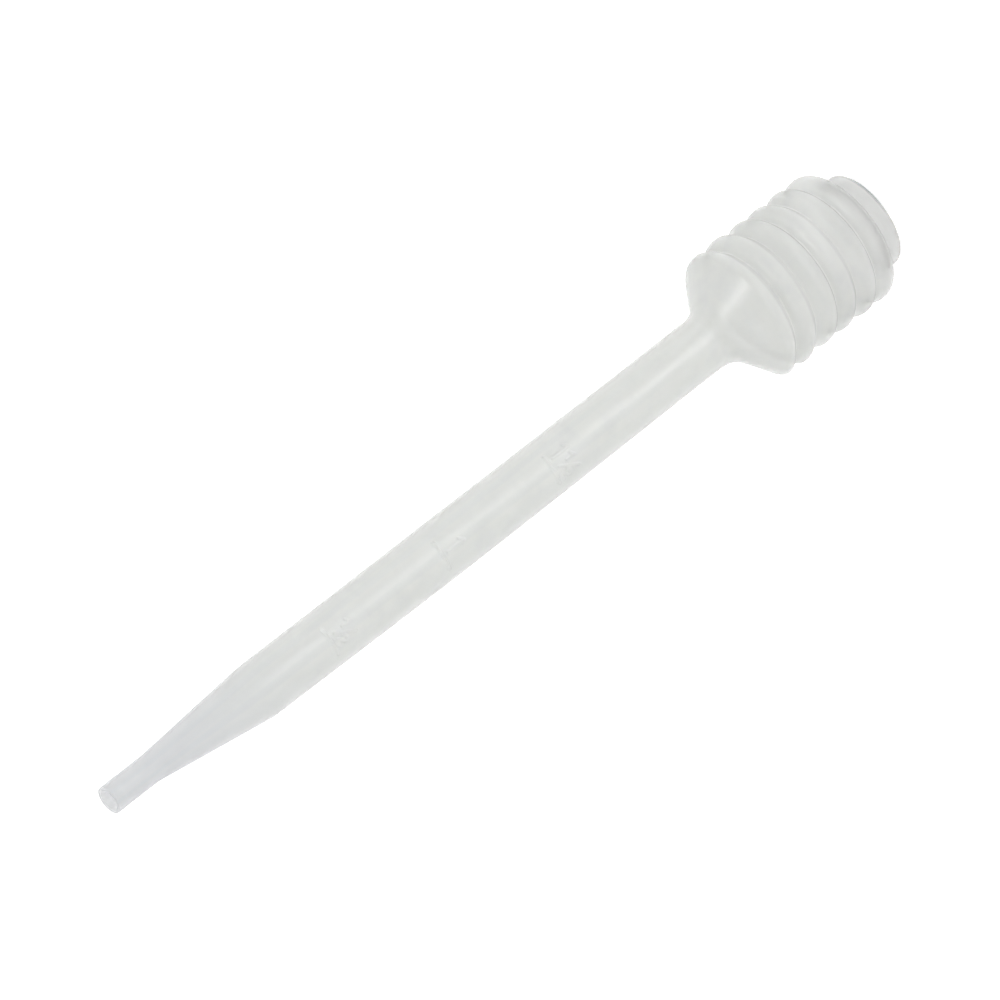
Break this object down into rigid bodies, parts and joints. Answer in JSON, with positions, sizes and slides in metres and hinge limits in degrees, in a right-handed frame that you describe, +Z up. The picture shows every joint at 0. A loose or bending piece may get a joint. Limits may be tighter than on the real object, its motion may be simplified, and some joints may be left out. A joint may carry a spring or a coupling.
{
  "type": "dropper pipette",
  "caption": "One-piece moulded dropper pipette: straight drawn tip, taper, long graduated tube and a hollow bellows bulb with a flat end.",
  "frame": {"origin": "on the table, at the middle of the bulb's flat end", "axes": "+Z runs up the pipette's axis from the flat end to the tip; the graduation marks face the front, -Y; the drawn tip stands 0.65 mm off the axis towards +X, the right"},
  "size_m": [0.0216, 0.0216, 0.15],
  "materials": {
    "natural_ldpe": "satin, milky and see-through, as moulded"
  },
  "bodies": {
    "root": {"dropper_pipette": "natural_ldpe"}
  },
  "joints": []
}
